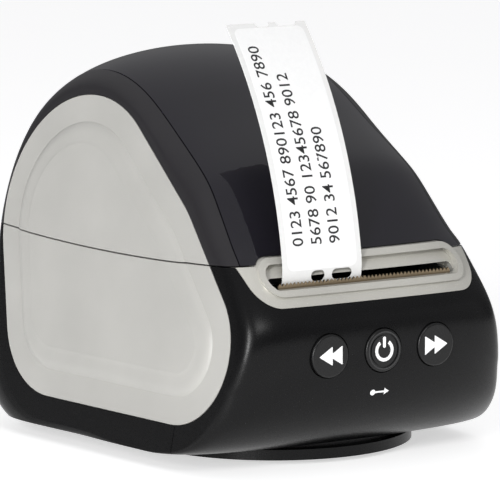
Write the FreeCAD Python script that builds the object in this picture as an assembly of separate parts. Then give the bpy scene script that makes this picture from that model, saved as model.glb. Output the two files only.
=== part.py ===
import FreeCAD, Part
import math
import os

# Desktop thermal label printer.
# Millimetres.  +X is the printer's left-to-right as seen from the front, +Y is
# to the back, +Z is up.  The origin is at the middle of the footprint, on the desk.

V = FreeCAD.Vector

# ---------------------------------------------------------------- overall form
DEPTH = 171.5                # button faces to the back of the hinge barrels
BUTTON_PROUD = 0.75          # buttons stand this far out of the front
HINGE_REACH = 9.75           # hinge barrels stand this far out of the back
FRONT_Y = -DEPTH / 2 + BUTTON_PROUD
REAR_Y = DEPTH / 2 - HINGE_REACH
SIDE_HALF_WIDTH = 58.6       # flat side face at Y = 0 and at the lean's pivot height
SIDE_LEAN_DEG = 11.0         # the sides lean in towards the top
SIDE_TAPER_DEG = 4.4         # the sides close in towards the front
LEAN_PIVOT_Z = 45.0
UNDERSIDE_Z = 5.2            # flat underside of the shells
WALL = 2.6                   # moulded wall of the shells

# Each lengthwise section of the housing is the outline round five circles
# (Y, Z, radius).  The set below is the section on the centre line, the next one
# the outline of the flat side face.
CENTRE_CROWN = (REAR_Y - 50.5, 84.0, 50.0)
CENTRE_BROW = (FRONT_Y + 64.0, 69.0, 39.7)
CENTRE_NOSE = (FRONT_Y + 18.5, 45.0, 18.5)
CENTRE_CHIN = (FRONT_Y + 29.0, 34.0, 29.0)
CENTRE_TAIL = (REAR_Y - 22.0, 27.0, 22.0)
SIDE_CROWN = (REAR_Y - 56.0, 77.0, 44.0)
SIDE_BROW = (FRONT_Y + 71.5, 56.5, 40.0)
SIDE_NOSE = (FRONT_Y + 37.5, 40.8, 26.3)
SIDE_CHIN = (FRONT_Y + 41.0, 34.0, 28.3)
SIDE_TAIL = (REAR_Y - 53.0, 40.0, 33.0)
DRIFT_POWER = 0.35           # how late the circles move from the middle's places to the side's
ROLL_POWER = 0.75            # and how late they shrink
FORM_SECTIONS = 15           # sections from side to side in the loft
SECTION_CROWDING = 2.9       # they crowd towards the sides, where the form turns
ARC_POINTS = 4               # points on each round stretch of a section
LINE_POINTS = 1              # points inside each straight stretch

# ---------------------------------------------------------------- seams
SEAM_LOW_Y = -8.0            # the cover seam sags gently, lowest here
SEAM_LOW_Z = 68.0
SEAM_RADIUS = 1000.0
SEAM_GAP = 0.5
SHELL_SPLIT_Y = FRONT_Y + 34.5        # front shell meets the rear shell here
SHELL_SPLIT_GAP = 0.3

# ---------------------------------------------------------------- side panels
PANEL_INSET = 0.6            # panel edge inside the side face's own outline
PANEL_TAIL = (REAR_Y - 53.5, 46.0, 31.0)
PANEL_THICKNESS = 1.3
PANEL_GAP = 0.25
PANEL_RING = 9.0             # flat rim round the raised field
PANEL_FIELD_RISE = 1.5
PANEL_FIELD_SLOPE = 8.0      # width over which the field rises

# ---------------------------------------------------------------- cover
LID_EDGE_FRONT = (FRONT_Y - 5.0, 50.0)     # (Y, half width) of the glossy lid's curved edge
LID_EDGE_WAIST = (-4.0, 38.6)
LID_EDGE_BACK = (REAR_Y + 6.0, 45.0)
LID_THICKNESS = 1.4
LID_GAP = 0.35
LID_REAR_Z = 84.0            # the lid ends this high above the hinge
LID_SEAT_GAP = 0.1           # adhesive film under the lid
HINGE_R = 4.2
HINGE_Y = DEPTH / 2 - HINGE_R
HINGE_Z = 70.2
HINGE_PIN_R = 1.5
HINGE_RUNNING = 0.05
HINGE_SIDE_GAP = 0.3
HINGE_BARREL_GAP = 0.4
KNUCKLE_SPANS = ((-28.0, -20.0), (20.0, 28.0))    # cover knuckles
BARREL_SPANS = ((-36.0, -28.3), (-19.7, 19.7), (28.3, 36.0))

# ---------------------------------------------------------------- label web
WEB_LEFT = -32.5
WEB_WIDTH = 32.0
WEB_THICKNESS = 0.3
WEB_ROLL_GAP = 0.45          # roll's outside to the middle of the web
WEB_GUIDE_TURN = 60.0
NIP_Y = FRONT_Y + 17.25      # where the web passes between head and platen
NIP_Z = 52.05
WEB_HEAD_RUN = 4.0
WEB_EXIT_R = 25.0
WEB_EXIT_TURN = 38.0
WEB_CURL_R = 150.0
WEB_CURL_TURN = 32.0
MARK_SPANS = ((-21.0, -15.4), (-12.6, -4.4))   # gap marks punched in the backing strip
MARK_Z = (63.6, 67.2)        # the marks that stand in the slot
MARK_DEPTH = 1.7             # the marks that the torn end runs through
GUIDE_CLEARANCE = 1.0
GUIDE_THICKNESS = 1.6
SENSOR_X = -10.0
SENSOR_SETBACK = 20.0        # sensor's eye ahead of the spool
SENSOR_EYE_R = 1.6

# ---------------------------------------------------------------- roll and spool
SPOOL_Y = REAR_Y - 68.0
SPOOL_Z = 70.0
ROLL_R = 41.8
CORE_R = 14.3
CORE_BORE_R = 12.75
TUBE_R = 12.5
AXLE_R = 4.0
AXLE_HALF = 49.5
TUBE_LEFT = -33.0
TUBE_RIGHT = 40.0
FLANGE_R = 24.0
FLANGE_T = 2.0
GUIDE_HUB = 8.0
GUIDE_BORE_CLEARANCE = 0.06
CRADLE_INNER_X = 44.5
CRADLE_T = 3.0
CRADLE_HALF_FOOT = 24.0
CRADLE_FOOT_R = 4.0
CRADLE_HEAD_R = 10.0
AXLE_RUNNING = 0.06

# ---------------------------------------------------------------- feed mechanism
PLATEN_R = 6.5
PLATEN_HALF = 36.0
PLATEN_SHAFT_R = 2.5
PLATEN_NIP = 0.05
FRAME_X = 39.0
FRAME_T = 1.4
FRAME_FOOT = 8.0
BUSH_R = 4.0
BUSH_RUNNING = 0.04
GEAR_MODULE = 0.6
GEAR_T = 3.0
GEAR_X = 40.9
GEAR_RIM = 1.2
GEAR_HUB = 1.4
GEAR_RECESS = 1.0
PRESSURE_ANGLE = 20.0
BACKLASH = 0.10
PLATEN_TEETH = 28
UPPER_IDLER_TEETH = 26
LOWER_IDLER_TEETH = 24
PINION_TEETH = 16
LINK_ANGLES = (-56.0, -62.0, -60.0)    # platen to idler to idler to pinion
STUD_R = 1.5
STUD_RUNNING = 0.05
MOTOR_R = 8.0
MOTOR_LENGTH = 15.0
MOTOR_SHAFT_R = 1.0
HEAD_WIDTH = 64.0
HEAD_CERAMIC_T = 0.8
HEAD_LENGTH = 10.0
SINK_T = 3.6
HEAD_GAP = 0.03             # printed label to the head's face, free of pressure
SPRING_SPACE = 2.6
BRACKET_T = 1.2
BRACKET_LENGTH = 8.0
SPRING_HALF_LENGTH = 3.6
SPRING_WIDTH = 5.0
SPRING_T = 0.4
SPRING_X = 20.0

# ---------------------------------------------------------------- front face
BUTTON_Z = 40.2
BUTTON_PITCH = 21.6
BUTTON_R = 7.3
BUTTON_GAP = 0.35
BUTTON_TRAVEL = 1.0
BUTTON_LIP = 1.3
BUTTON_LIP_T = 1.4
LIP_SEAT_GAP = 0.3
CAP_DEPTH = 5.5
CAP_WALL = 1.6
BUTTON_FILLET = 0.7
STEM_R = 1.5
STEM_DEPTH = 6.5
SWITCH_HEIGHT = 2.2
SWITCH_REST_GAP = 0.15       # stem to plunger while the button is out
KEY_BOARD_DEPTH = 10.8       # button faces to the board
KEY_BOARD_HALF = 31.0
KEY_BOARD_BOTTOM_Z = 30.2
KEY_BOARD_TOP_Z = 44.0
KEY_POST_R = 1.6
KEY_POST_Z = 33.0
BEZEL_TOP_HALF = 47.2
BEZEL_BOTTOM_HALF = 45.5
BEZEL_TOP_Z = 74.0           # above the seam, which trims it
BEZEL_BOTTOM_Z = 56.7
BEZEL_CORNER_R = 9.0
BEZEL_GAP = 0.2
RING_HALF = 41.0
RING_TOP_Z = 72.2
RING_BOTTOM_Z = 60.2
RING_PROUD = 1.0
RING_WIDTH = 2.1
RING_ROOT = 0.2              # the ring's wall goes this much deeper than the shell
RECESS_DEPTH = 1.2
SLOT_HALF = 37.6
SLOT_Z = 63.9
SLOT_HEIGHT = 3.4
THROAT_DROP = 1.3            # the lip behind the tear bar is cut lower, clear of the label
TEAR_Y = FRONT_Y + 10.4
TEAR_TOOTH = 1.0
TEAR_PITCH = 1.5
TEAR_T = 0.6
TEAR_RISE = 0.9
TEAR_HEIGHT = 2.0

# ---------------------------------------------------------------- base and rear
PAN_NOSE = (0.0, FRONT_Y + 65.0, 48.0)
PAN_CORNER = (36.0, REAR_Y - 20.0, 10.0)
DECK_CORNER = (34.0, REAR_Y - 34.0, 11.0)
PAN_BOTTOM_Z = 1.6
PAN_LIP = 3.0
PAN_SKIN = 1.8
PAN_FIT = 0.2
DECK_Z = UNDERSIDE_Z + WALL
FOOT_R = 6.0
FOOT_T = 2.4
FOOT_REAR = (34.0, REAR_Y - 22.0)
FOOT_FRONT = (30.0, FRONT_Y + 51.0)
BAY_Y = REAR_Y - 9.0
BAY_HALF = 33.0
BAY_BOTTOM_Z = 12.0
BAY_TOP_Z = 30.0
BAY_WALL = 2.2
POWER_X = -19.0
POWER_HALF = 4.5
USB_X = 17.0
USB_HALF = 6.0
SOCKET_Z = 19.5
SOCKET_HALF_HEIGHT = 5.4
SOCKET_FIT = 0.2
BOARD_Z = 12.5
BOARD_T = 1.6
BOARD_HALF = 31.0
PIN_PITCH = 2.0
HEADER_HEIGHT = 5.0
CAPACITOR_HEIGHT = 8.5
BOARD_LENGTH = 64.6
POST_X = 27.0
POST_YS = (REAR_Y - 71.0, REAR_Y - 30.0)
POST_R = 2.5
SCREW_R = 1.25
SCREW_HEAD_R = 2.5
SCREW_HEAD_T = 1.3
SCREW_DEPTH = 4.0            # how far a screw goes into what it holds


# ---------------------------------------------------------------- worked out from the above
FAR = 250.0                            # reach of blocks that only trim other shapes
FRONT_CUT = (FRONT_Y - 10.0, FRONT_Y + 28.0)    # through the front wall and no further
WEB_START = (SPOOL_Y, SPOOL_Z - ROLL_R - WEB_ROLL_GAP)
WEB_GUIDE_R = (NIP_Z - WEB_START[1]) / (1.0 - math.cos(math.radians(WEB_GUIDE_TURN)))
WEB_FEED_RUN = WEB_START[0] - NIP_Y - WEB_GUIDE_R * math.sin(math.radians(WEB_GUIDE_TURN))
FOOT_PLACES = [(side * x, y) for x, y in (FOOT_REAR, FOOT_FRONT) for side in (-1, 1)]
BOARD_POSTS = [(side * POST_X, y) for y in POST_YS for side in (-1, 1)]


# ================================================================ small helpers
def box(x0, x1, y0, y1, z0, z1):
    return Part.makeBox(x1 - x0, y1 - y0, z1 - z0, V(x0, y0, z0))


def rod_x(radius, x0, x1, y, z):
    return Part.makeCylinder(radius, x1 - x0, V(x0, y, z), V(1, 0, 0))


def rod_y(radius, y0, y1, x, z):
    return Part.makeCylinder(radius, y1 - y0, V(x, y0, z), V(0, 1, 0))


def rod_z(radius, z0, z1, x, y):
    return Part.makeCylinder(radius, z1 - z0, V(x, y, z0), V(0, 0, 1))


def mirror_x(shape):
    return shape.mirror(V(0, 0, 0), V(1, 0, 0))


def fuse(shapes):
    shapes = list(shapes)
    return shapes[0].multiFuse(shapes[1:]).removeSplitter()


def screw(x, y, z):
    """Pan-head screw that points down, its head resting at this height."""
    head = Part.makeCone(SCREW_HEAD_R, SCREW_HEAD_R * 0.8, SCREW_HEAD_T, V(x, y, z))
    slot = box(x - 0.3, x + 0.3, y - 1.6, y + 1.6, z + SCREW_HEAD_T / 2, z + SCREW_HEAD_T)
    cross = box(x - 1.6, x + 1.6, y - 0.3, y + 0.3, z + SCREW_HEAD_T / 2, z + SCREW_HEAD_T)
    return head.cut(slot).cut(cross).fuse(rod_z(SCREW_R, z - SCREW_DEPTH, z, x, y))


def save(name, shape):
    solids = shape.Solids
    if len(solids) > 1:
        shape = Part.makeCompound(solids)
    elif solids:
        shape = solids[0]
    shape.exportStep("parts/" + name + ".step")
    print(f"{name:24s} solids {len(solids)} volume {shape.Volume:10.1f} valid {shape.isValid()}")


# ================================================================ outlines round circles
def tangent_normal(first, second):
    """Outward normal of the line that touches two circles, for an anticlockwise outline."""
    du = second[0] - first[0]
    dv = second[1] - first[1]
    gap = math.hypot(du, dv)
    along = (first[2] - second[2]) / gap
    across = math.sqrt(1.0 - along * along)
    du /= gap
    dv /= gap
    return (du * along + dv * across, dv * along - du * across)


def circle_angles(circles):
    """For each circle, the angles at which the outline reaches it and leaves it."""
    count = len(circles)
    normals = [tangent_normal(circles[i], circles[(i + 1) % count]) for i in range(count)]
    angles = []
    for i in range(count):
        start = math.atan2(normals[i - 1][1], normals[i - 1][0])
        end = math.atan2(normals[i][1], normals[i][0])
        if end < start:
            end += 2 * math.pi
        angles.append((start, end))
    return angles


def on_circle(circle, angle):
    return (circle[0] + circle[2] * math.cos(angle), circle[1] + circle[2] * math.sin(angle))


def outline_face(circles, place):
    """Flat face inside the outline; place turns a (u, v) pair into a point."""
    edges = []
    angles = circle_angles(circles)
    for i, circle in enumerate(circles):
        start, end = angles[i]
        spots = [place(*on_circle(circle, a)) for a in (start, (start + end) / 2, end)]
        edges.append(Part.Arc(*spots).toShape())
        following = (i + 1) % len(circles)
        leave = place(*on_circle(circle, end))
        reach = place(*on_circle(circles[following], angles[following][0]))
        edges.append(Part.LineSegment(leave, reach).toShape())
    return Part.Face(Part.Wire(edges))


def outline_points(circles):
    """Evenly shared points round the outline, the same number for every section."""
    points = []
    angles = circle_angles(circles)
    for i, circle in enumerate(circles):
        start, end = angles[i]
        for step in range(ARC_POINTS):
            share = step / (ARC_POINTS - 1)
            points.append(on_circle(circle, start + (end - start) * share))
        leave = points[-1]
        following = (i + 1) % len(circles)
        reach = on_circle(circles[following], angles[following][0])
        for step in range(1, LINE_POINTS + 1):
            share = step / (LINE_POINTS + 1)
            points.append((leave[0] + (reach[0] - leave[0]) * share,
                           leave[1] + (reach[1] - leave[1]) * share))
    return points


# ================================================================ housing form
TAPER = math.tan(math.radians(SIDE_TAPER_DEG))
LEAN = math.tan(math.radians(SIDE_LEAN_DEG))
CENTRE_SET = (CENTRE_TAIL, CENTRE_CROWN, CENTRE_BROW, CENTRE_NOSE, CENTRE_CHIN)
SIDE_SET = (SIDE_TAIL, SIDE_CROWN, SIDE_BROW, SIDE_NOSE, SIDE_CHIN)


def side_x(y, z):
    """Half width of the housing at the flat side face."""
    return SIDE_HALF_WIDTH + TAPER * y - LEAN * (z - LEAN_PIVOT_Z)


def blended_circles(across, inset):
    """Circles of the section at this share of the half width, from -1 to 1."""
    flat = max(0.0, 1.0 - across * across)
    roll = flat ** ROLL_POWER
    drift = flat ** DRIFT_POWER
    circles = []
    for side, centre in zip(SIDE_SET, CENTRE_SET):
        circles.append((side[0] + (centre[0] - side[0]) * drift,
                        side[1] + (centre[1] - side[1]) * drift,
                        side[2] + (centre[2] - side[2]) * roll - inset))
    return circles


def chord_parameters(points):
    lengths = [0.0]
    for i in range(len(points)):
        here = points[i]
        after = points[(i + 1) % len(points)]
        lengths.append(lengths[-1] + math.hypot(after[0] - here[0], after[1] - here[1]))
    return [length / lengths[-1] for length in lengths]


def form(inset):
    """The housing as a solid, drawn in by the given wall on every side."""
    knots = chord_parameters(outline_points(blended_circles(0.0, inset)))
    wires = []
    for step in range(FORM_SECTIONS):
        share = 2.0 * step / (FORM_SECTIONS - 1) - 1.0
        across = math.copysign(1.0 - (1.0 - abs(share)) ** SECTION_CROWDING, share)
        spots = []
        for y, z in outline_points(blended_circles(across, inset)):
            spots.append(V(across * (side_x(y, z) - inset), y, z))
        curve = Part.BSplineCurve()
        curve.interpolate(Points=spots, PeriodicFlag=True, Parameters=knots)
        wires.append(Part.Wire([curve.toShape()]))
    solid = Part.makeLoft(wires, True, False)
    floor = box(-FAR, FAR, -FAR, FAR, UNDERSIDE_Z + inset, FAR)
    return solid.common(floor)


def front_y(x):
    """Foremost point of the housing at this distance from the centre line."""
    across = abs(x) / side_x(SIDE_NOSE[0], BUTTON_Z)
    return min(y for y, z in outline_points(blended_circles(across, 0.0)))


def below_seam(shift):
    """Everything under the cover seam, moved up by the shift."""
    reach = DEPTH
    rise = SEAM_RADIUS - math.sqrt(SEAM_RADIUS ** 2 - reach ** 2)
    low = V(-FAR, SEAM_LOW_Y, SEAM_LOW_Z + shift)
    front = V(-FAR, SEAM_LOW_Y - reach, SEAM_LOW_Z + rise + shift)
    back = V(-FAR, SEAM_LOW_Y + reach, SEAM_LOW_Z + rise + shift)
    front_foot = V(-FAR, front.y, -FAR)
    back_foot = V(-FAR, back.y, -FAR)
    edges = [Part.Arc(front, low, back).toShape(),
             Part.LineSegment(back, back_foot).toShape(),
             Part.LineSegment(back_foot, front_foot).toShape(),
             Part.LineSegment(front_foot, front).toShape()]
    return Part.Face(Part.Wire(edges)).extrude(V(2 * FAR, 0, 0))


# ================================================================ side panels
def side_placement():
    """Local frame of the left side face: x runs inwards, y and z lie in the face."""
    outward = V(-1, -TAPER, LEAN).normalize()
    along = V(-TAPER, 1, 0).normalize()
    up = along.cross(outward)
    if up.z < 0:
        up = up.negative()
    inward = outward.negative()
    matrix = FreeCAD.Matrix(inward.x, along.x, up.x, -side_x(0, LEAN_PIVOT_Z),
                            inward.y, along.y, up.y, 0,
                            inward.z, along.z, up.z, LEAN_PIVOT_Z,
                            0, 0, 0, 1)
    return FreeCAD.Placement(matrix)


def panel_circles(inset):
    """Outline of the panel in its own plane, drawn in by the inset."""
    circles = [(PANEL_TAIL[0], PANEL_TAIL[1] - LEAN_PIVOT_Z, PANEL_TAIL[2] - inset)]
    for y, z, radius in (SIDE_CROWN, SIDE_BROW, SIDE_NOSE):
        circles.append((y, z - LEAN_PIVOT_Z, radius - PANEL_INSET - inset))
    return circles


def panel_layer(inset, depth):
    return outline_face(panel_circles(inset), lambda u, v: V(depth, u, v))


def side_panel():
    """Left side panel: flat rim with a raised, softly domed field."""
    plate = panel_layer(0.0, 0.0).extrude(V(PANEL_THICKNESS, 0, 0))
    rises = ((0.0, 0.3), (-0.55, 1.6), (-0.85, 4.2), (-1.0, PANEL_FIELD_SLOPE))
    wires = []
    for height, inset in rises:
        layer = panel_layer(PANEL_RING + inset, height * PANEL_FIELD_RISE)
        wires.append(layer.OuterWire)
    field = Part.makeLoft(wires, True, False)
    root = panel_layer(PANEL_RING + rises[0][1], 0.0).extrude(V(PANEL_THICKNESS / 2, 0, 0))
    panel = plate.fuse(root.fuse(field))
    panel.Placement = side_placement().multiply(panel.Placement)
    return panel


def panel_pocket():
    pocket = panel_layer(-PANEL_GAP, -4.0).extrude(V(PANEL_THICKNESS + 4.0, 0, 0))
    pocket.Placement = side_placement()
    return pocket


# ================================================================ cover
def lid_band(widen):
    """Block that bounds the glossy lid: waisted in plan, and cut off level above the hinge."""
    marks = (LID_EDGE_FRONT, LID_EDGE_WAIST, LID_EDGE_BACK)
    right = [V(half + widen, y, LID_REAR_Z - widen) for y, half in marks]
    left = [V(-half - widen, y, LID_REAR_Z - widen) for y, half in marks]
    edges = [Part.Arc(*right).toShape(),
             Part.LineSegment(right[2], left[2]).toShape(),
             Part.Arc(*left[::-1]).toShape(),
             Part.LineSegment(left[0], right[0]).toShape()]
    plan = Part.Face(Part.Wire(edges))
    crown = plan.extrude(V(0, 0, FAR))
    plan.translate(V(0, 0, widen - LID_REAR_Z))
    brow = plan.extrude(V(0, 0, FAR)).common(box(-FAR, FAR, -FAR, CENTRE_CROWN[0], -FAR, FAR))
    return crown.fuse(brow)


def racetrack(half, bottom, top, y0, y1):
    """Long slot shape on the front, cut through from y0 to y1."""
    radius = (top - bottom) / 2
    middle = (top + bottom) / 2
    reach = half - radius
    bar = box(-reach, reach, y0, y1, bottom, top)
    ends = [rod_y(radius, y0, y1, side * reach, middle) for side in (-1, 1)]
    return fuse([bar] + ends)


def ring_block(widen):
    return racetrack(RING_HALF + widen, RING_BOTTOM_Z - widen, RING_TOP_Z + widen, *FRONT_CUT)


def hinge_lug(span, foot):
    """Barrel on the hinge axis with the tapered lug that joins it to the wall."""
    circles = [(HINGE_Y, HINGE_Z, HINGE_R)] + list(foot)
    face = outline_face(circles, lambda u, v: V(span[0], u, v))
    return face.extrude(V(span[1] - span[0], 0, 0))


def hinge_reliefs(spans):
    """Room round the barrels of the other hinge half."""
    room = HINGE_R + HINGE_BARREL_GAP
    return [rod_x(room, x0 - HINGE_SIDE_GAP, x1 + HINGE_SIDE_GAP, HINGE_Y, HINGE_Z) for x0, x1 in spans]


def cover_parts(outer, inner, raised):
    """Frame of the cover and the glossy lid that lies in its shallow pocket."""
    below = below_seam(SEAM_GAP / 2)
    above = outer.cut(below)
    lid = above.common(lid_band(-LID_GAP / 2)).cut(form(LID_THICKNESS))
    pocket = lid_band(LID_GAP / 2).cut(form(LID_THICKNESS + LID_SEAT_GAP))
    frame = above.cut(inner).cut(pocket)
    closed = raised.common(below)
    foot = ((HINGE_Y - 11.0, HINGE_Z + 10.0, 2.5), (HINGE_Y - 11.0, HINGE_Z + 3.5, 2.0))
    lugs = [hinge_lug(span, foot).cut(inner).cut(closed) for span in KNUCKLE_SPANS]
    frame = frame.multiFuse(lugs)
    frame = frame.cut(rod_x(HINGE_PIN_R + HINGE_RUNNING, -FAR, FAR, HINGE_Y, HINGE_Z))
    frame = frame.cut(Part.makeCompound(hinge_reliefs(BARREL_SPANS)))
    notch = ring_block(LID_GAP)
    frame = frame.cut(notch)
    lid = lid.cut(notch)
    for pocket in (panel_pocket(), mirror_x(panel_pocket())):
        frame = frame.cut(pocket)
    return frame, lid


# ================================================================ lower housing
def bezel_outline(widen, y0, y1):
    """Front outline of the bezel plate: wide at the top, round at its lower corners."""
    radius = BEZEL_CORNER_R + widen
    circles = ((-BEZEL_BOTTOM_HALF + BEZEL_CORNER_R, BEZEL_BOTTOM_Z + BEZEL_CORNER_R, radius),
               (BEZEL_BOTTOM_HALF - BEZEL_CORNER_R, BEZEL_BOTTOM_Z + BEZEL_CORNER_R, radius),
               (BEZEL_TOP_HALF - 1.0, BEZEL_TOP_Z, 1.0 + widen),
               (-BEZEL_TOP_HALF + 1.0, BEZEL_TOP_Z, 1.0 + widen))
    face = outline_face(circles, lambda u, v: V(u, y0, v))
    return face.extrude(V(0, y1 - y0, 0))


def slot_bezel(outer, inner, raised):
    """Light plate round the label slot, with a raised ring and a recess inside it."""
    plate = outer.cut(inner).common(bezel_outline(0.0, *FRONT_CUT))
    plate = plate.common(below_seam(-SEAM_GAP / 2))
    ring = raised.cut(form(WALL + RING_ROOT)).common(ring_block(0.0))
    recess_half = RING_HALF - RING_WIDTH
    recess = racetrack(recess_half, RING_BOTTOM_Z + RING_WIDTH, RING_TOP_Z - RING_WIDTH, *FRONT_CUT)
    recess = recess.cut(form(RECESS_DEPTH))
    mouth = racetrack(SLOT_HALF, SLOT_Z - SLOT_HEIGHT / 2, SLOT_Z + SLOT_HEIGHT / 2, *FRONT_CUT)
    half, bottom, top = tear_size()
    seat = box(-half, half, TEAR_Y, TEAR_Y + TEAR_T, bottom, top)
    throat = racetrack(SLOT_HALF, SLOT_Z - SLOT_HEIGHT / 2 - THROAT_DROP, SLOT_Z + SLOT_HEIGHT / 2,
                       TEAR_Y + TEAR_T, FRONT_CUT[1])
    return plate.fuse(ring).cut(recess).cut(mouth).cut(throat).cut(seat)


def tear_size():
    """Half length, bottom and foot-of-teeth heights of the tear bar."""
    top = SLOT_Z - SLOT_HEIGHT / 2 + TEAR_RISE
    count = int(2 * (SLOT_HALF - SLOT_HEIGHT / 2) / TEAR_PITCH)
    return count * TEAR_PITCH / 2, top - TEAR_HEIGHT, top


def tear_bar():
    """Toothed steel strip along the lower lip of the slot."""
    half, bottom, top = tear_size()
    points = [V(-half, TEAR_Y, bottom), V(half, TEAR_Y, bottom), V(half, TEAR_Y, top)]
    for i in range(round(2 * half / TEAR_PITCH)):
        x = half - i * TEAR_PITCH
        points.append(V(x - TEAR_PITCH / 2, TEAR_Y, top + TEAR_TOOTH))
        points.append(V(x - TEAR_PITCH, TEAR_Y, top))
    return Part.Face(Part.makePolygon(points + points[:1])).extrude(V(0, TEAR_T, 0))


def pan_layer(corner, inset, z0, z1):
    """Slice of the base pan: round at the front, square with round corners at the back."""
    x, y, radius = corner
    nose_x, nose_y, nose_r = PAN_NOSE
    corner = radius - inset
    circles = ((nose_x, nose_y, nose_r - inset), (x, y, corner), (-x, y, corner))
    face = outline_face(circles, lambda u, v: V(u, v, z0))
    return face.extrude(V(0, 0, z1 - z0))


def base_pan():
    """Base pan with its raised deck, board posts and foot seats; and the hole that it fills."""
    slab = pan_layer(PAN_CORNER, 0.0, PAN_BOTTOM_Z, UNDERSIDE_Z)
    deck = pan_layer(DECK_CORNER, PAN_LIP + PAN_FIT, UNDERSIDE_Z, DECK_Z)
    hollow = pan_layer(PAN_CORNER, PAN_LIP, PAN_BOTTOM_Z, UNDERSIDE_Z - PAN_SKIN)
    for x, y in FOOT_PLACES:
        hollow = hollow.cut(rod_z(FOOT_R + 2.0, 0, DECK_Z, x, y))
    pan = slab.fuse(deck).cut(hollow)
    for x, y in FOOT_PLACES:
        pan = pan.cut(rod_z(FOOT_R, 0, FOOT_T, x, y))
    posts = [rod_z(POST_R, DECK_Z - 1.0, BOARD_Z, x, y) for x, y in BOARD_POSTS]
    pan = pan.multiFuse(posts)
    for x, y in BOARD_POSTS:
        pan = pan.cut(rod_z(SCREW_R, BOARD_Z + BOARD_T - SCREW_DEPTH, BOARD_Z + 1.0, x, y))
    for x, y in frame_screw_places():
        pan = pan.cut(rod_z(SCREW_R, DECK_Z + FRAME_T - SCREW_DEPTH, DECK_Z + 1.0, x, y))
    opening = pan_layer(DECK_CORNER, PAN_LIP, 0, DECK_Z + 1.0)
    return pan, opening


def rubber_feet():
    feet = []
    for x, y in FOOT_PLACES:
        feet.append(Part.makeCone(FOOT_R - 0.8, FOOT_R - 0.2, FOOT_T, V(x, y, 0)))
    return Part.makeCompound(feet)


def lower_shells(outer, inner, pan_opening):
    """Front and rear shells, each open where its neighbours fill it."""
    lower = outer.common(below_seam(-SEAM_GAP / 2)).cut(inner)
    lower = lower.cut(pan_opening)
    for pocket in (panel_pocket(), mirror_x(panel_pocket())):
        lower = lower.cut(pocket)
    lower = lower.cut(bezel_outline(BEZEL_GAP, *FRONT_CUT)).cut(ring_block(BEZEL_GAP))
    half_gap = SHELL_SPLIT_GAP / 2
    front = lower.common(box(-FAR, FAR, -FAR, SHELL_SPLIT_Y - half_gap, -FAR, FAR))
    rear = lower.common(box(-FAR, FAR, SHELL_SPLIT_Y + half_gap, FAR, -FAR, FAR))
    for slot in (-1, 0, 1):
        x = slot * BUTTON_PITCH
        front = front.cut(rod_y(BUTTON_R + BUTTON_GAP, *FRONT_CUT, x, BUTTON_Z))
        lip_y = front_y(x) - BUTTON_PROUD + CAP_DEPTH - BUTTON_LIP_T - LIP_SEAT_GAP
        front = front.cut(rod_y(BUTTON_R + BUTTON_LIP + BUTTON_GAP, lip_y, FRONT_CUT[1], x, BUTTON_Z))
    board_y = front_y(0) - BUTTON_PROUD + KEY_BOARD_DEPTH
    for side in (-1, 1):
        x = side * BUTTON_PITCH / 2
        front = front.fuse(rod_y(KEY_POST_R, front_y(x) + WALL / 2, board_y, x, KEY_POST_Z))
    foot = ((HINGE_Y - 10.0, HINGE_Z - 3.5, 2.0), (HINGE_Y - 10.0, HINGE_Z - 14.0, 2.5))
    lugs = [hinge_lug(span, foot).cut(inner) for span in BARREL_SPANS]
    rear = rear.multiFuse(lugs)
    rear = rear.cut(Part.makeCompound(hinge_reliefs(KNUCKLE_SPANS)))
    rear = rear.cut(rod_x(HINGE_PIN_R, -FAR, FAR, HINGE_Y, HINGE_Z))
    return front, connector_bay(rear, outer)


def connector_bay(rear, outer):
    """Sunk flat wall at the back with the two socket windows."""
    liner = box(-BAY_HALF - BAY_WALL, BAY_HALF + BAY_WALL, BAY_Y - BAY_WALL, FAR,
                BAY_BOTTOM_Z - BAY_WALL, BAY_TOP_Z + BAY_WALL)
    rear = rear.fuse(liner.common(outer))
    rear = rear.cut(box(-BAY_HALF, BAY_HALF, BAY_Y, FAR, BAY_BOTTOM_Z, BAY_TOP_Z))
    for x, half in ((USB_X, USB_HALF), (POWER_X, POWER_HALF)):
        half += SOCKET_FIT
        reach = SOCKET_HALF_HEIGHT + SOCKET_FIT
        rear = rear.cut(box(x - half, x + half, BAY_Y - 5, BAY_Y + 5, SOCKET_Z - reach, SOCKET_Z + reach))
    return rear


# ================================================================ buttons
def button(slot):
    """Round push button: filleted cap, retaining lip and the stem that works the switch."""
    x = slot * BUTTON_PITCH
    face = front_y(x) - BUTTON_PROUD
    cap = rod_y(BUTTON_R, face, face + CAP_DEPTH, x, BUTTON_Z)
    rim = [e for e in cap.Edges if abs(e.CenterOfMass.y - face) < 0.01]
    cap = cap.makeFillet(BUTTON_FILLET, rim)
    back = face + CAP_DEPTH
    cap = cap.fuse(rod_y(BUTTON_R + BUTTON_LIP, back - BUTTON_LIP_T, back, x, BUTTON_Z))
    cap = cap.cut(rod_y(BUTTON_R - CAP_WALL, face + CAP_WALL, face + STEM_DEPTH, x, BUTTON_Z))
    cap = cap.fuse(rod_y(STEM_R, face + CAP_WALL / 2, face + STEM_DEPTH, x, BUTTON_Z))
    if slot == 0:
        groove = rod_y(BUTTON_R - 1.5, face - 1, face + 0.35, x, BUTTON_Z)
        groove = groove.cut(rod_y(BUTTON_R - 2.1, face - 2, face + 1, x, BUTTON_Z))
        cap = cap.cut(groove)
    return cap


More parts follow.
